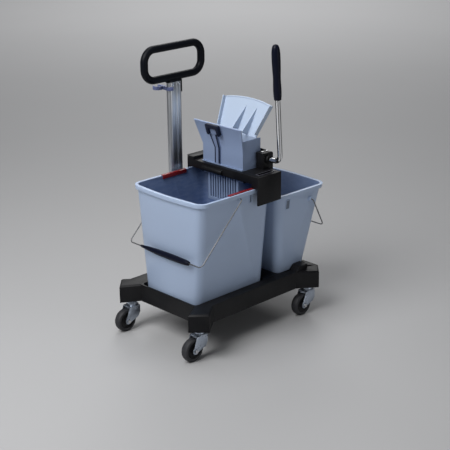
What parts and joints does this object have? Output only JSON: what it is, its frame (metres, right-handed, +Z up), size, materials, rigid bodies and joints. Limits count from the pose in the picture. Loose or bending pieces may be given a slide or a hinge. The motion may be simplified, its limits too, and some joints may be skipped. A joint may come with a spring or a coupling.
{
  "type": "double mop bucket trolley",
  "caption": "Wheeled mop trolley with a large and a small bucket end to end, a lever-worked flat mop press on the large bucket's rim, a loop push handle on a post and a pole clip.",
  "frame": {"origin": "on the floor under the middle of the whole object's box", "axes": "+Z up, +X from the large bucket towards the small bucket, +Y towards the handle post"},
  "size_m": [0.67, 0.4588, 0.9522],
  "materials": {
    "chassis_moulding": "fine grained moulded polypropylene",
    "zinc_plated_steel": "zinc plated pressing",
    "aluminium_profile": "anodised extrusion",
    "handle_moulding": "satin moulding",
    "clip_moulding": "satin moulding",
    "screw_steel": "bright zinc plated",
    "bucket_moulding": "satin moulded polypropylene",
    "wire_steel": "drawn wire",
    "grip_moulding": "satin moulding",
    "red_insert": "gloss moulding",
    "press_moulding": "satin moulded polypropylene",
    "bush_plastic": "acetal",
    "shaft_steel": "ground bar",
    "lever_chrome": "polished chrome plate",
    "grip_rubber": "soft touch",
    "hub_moulding": "moulded polypropylene",
    "tyre_rubber": "solid rubber"
  },
  "bodies": {
    "base": {"base_tray": "chassis_moulding", "caster_pins": "zinc_plated_steel", "handle_post": "aluminium_profile", "handle_neck": "handle_moulding", "handle_loop": "handle_moulding", "pole_clip": "clip_moulding", "neck_screws": "screw_steel"},
    "caster_1": {"caster_fork_1": "zinc_plated_steel", "caster_axle_1": "screw_steel"},
    "wheel_1": {"wheel_hub_1": "hub_moulding", "wheel_tyre_1": "tyre_rubber"},
    "caster_2": {"caster_fork_2": "zinc_plated_steel", "caster_axle_2": "screw_steel"},
    "wheel_2": {"wheel_hub_2": "hub_moulding", "wheel_tyre_2": "tyre_rubber"},
    "caster_3": {"caster_fork_3": "zinc_plated_steel", "caster_axle_3": "screw_steel"},
    "wheel_3": {"wheel_hub_3": "hub_moulding", "wheel_tyre_3": "tyre_rubber"},
    "caster_4": {"caster_fork_4": "zinc_plated_steel", "caster_axle_4": "screw_steel"},
    "wheel_4": {"wheel_hub_4": "hub_moulding", "wheel_tyre_4": "tyre_rubber"},
    "large_bucket": {"large_bucket": "bucket_moulding", "rim_inserts": "red_insert"},
    "large_bail": {"large_bail": "wire_steel", "large_bail_grip": "grip_moulding"},
    "small_bucket": {"small_bucket": "bucket_moulding"},
    "small_bail": {"small_bail": "wire_steel", "small_bail_grip": "grip_moulding"},
    "press": {"press_bridge": "chassis_moulding", "press_basket": "press_moulding", "press_funnel": "press_moulding", "funnel_clip": "clip_moulding", "lever_housing": "chassis_moulding", "far_bearing": "chassis_moulding", "shaft_bushes": "bush_plastic", "housing_screws": "screw_steel"},
    "lever": {"lever_shaft": "shaft_steel", "press_cams": "zinc_plated_steel", "return_spring": "screw_steel", "lever_rod": "lever_chrome", "lever_grip": "grip_rubber"},
    "jaw": {"press_jaw": "press_moulding", "jaw_guide_pins": "screw_steel"}
  },
  "joints": [
    {"name": "caster_swivel_1", "type": "hinge", "parent": "base", "child": "caster_1", "pos_m": [-0.265, -0.17995, 0.09], "axis": [0, 0, 1], "continuous": true},
    {"name": "wheel_spin_1", "type": "hinge", "parent": "caster_1", "child": "wheel_1", "pos_m": [-0.297, -0.17995, 0.038], "axis": [0, 1, 0], "continuous": true},
    {"name": "caster_swivel_2", "type": "hinge", "parent": "base", "child": "caster_2", "pos_m": [-0.265, 0.14605, 0.09], "axis": [0, 0, 1], "continuous": true},
    {"name": "wheel_spin_2", "type": "hinge", "parent": "caster_2", "child": "wheel_2", "pos_m": [-0.297, 0.14605, 0.038], "axis": [0, 1, 0], "continuous": true},
    {"name": "caster_swivel_3", "type": "hinge", "parent": "base", "child": "caster_3", "pos_m": [0.239, -0.17995, 0.09], "axis": [0, 0, 1], "continuous": true},
    {"name": "wheel_spin_3", "type": "hinge", "parent": "caster_3", "child": "wheel_3", "pos_m": [0.207, -0.17995, 0.038], "axis": [0, 1, 0], "continuous": true},
    {"name": "caster_swivel_4", "type": "hinge", "parent": "base", "child": "caster_4", "pos_m": [0.239, 0.14605, 0.09], "axis": [0, 0, 1], "continuous": true},
    {"name": "wheel_spin_4", "type": "hinge", "parent": "caster_4", "child": "wheel_4", "pos_m": [0.207, 0.14605, 0.038], "axis": [0, 1, 0], "continuous": true},
    {"name": "large_bucket_lift", "type": "slide", "parent": "base", "child": "large_bucket", "axis": [0, 0, 1], "range_m": [0, 0.06]},
    {"name": "large_bail_swing", "type": "hinge", "parent": "large_bucket", "child": "large_bail", "pos_m": [-0.079, -0.01695, 0.4829], "axis": [0, 1, 0], "range_deg": [0, 135]},
    {"name": "small_bucket_lift", "type": "slide", "parent": "base", "child": "small_bucket", "axis": [0, 0, 1], "range_m": [0, 0.06]},
    {"name": "small_bail_swing", "type": "hinge", "parent": "small_bucket", "child": "small_bail", "pos_m": [0.254, -0.01695, 0.4029], "axis": [0, -1, 0], "range_deg": [0, 150]},
    {"name": "press_lift", "type": "slide", "parent": "large_bucket", "child": "press", "axis": [0, 0, 1], "range_m": [0, 0.1]},
    {"name": "lever_swing", "type": "hinge", "parent": "press", "child": "lever", "pos_m": [0.081, -0.01695, 0.571], "axis": [0, -1, 0], "range_deg": [0, 80], "stiffness_Nm_per_rad": 2, "springref_deg": -34.38},
    {"name": "jaw_slide", "type": "slide", "parent": "press", "child": "jaw", "axis": [-1, 0, 0], "range_m": [0, 0.026]}
  ],
  "couplings": [
    {"joint": "jaw_slide", "follows": "lever_swing", "m_per_rad": 0.018621}
  ]
}
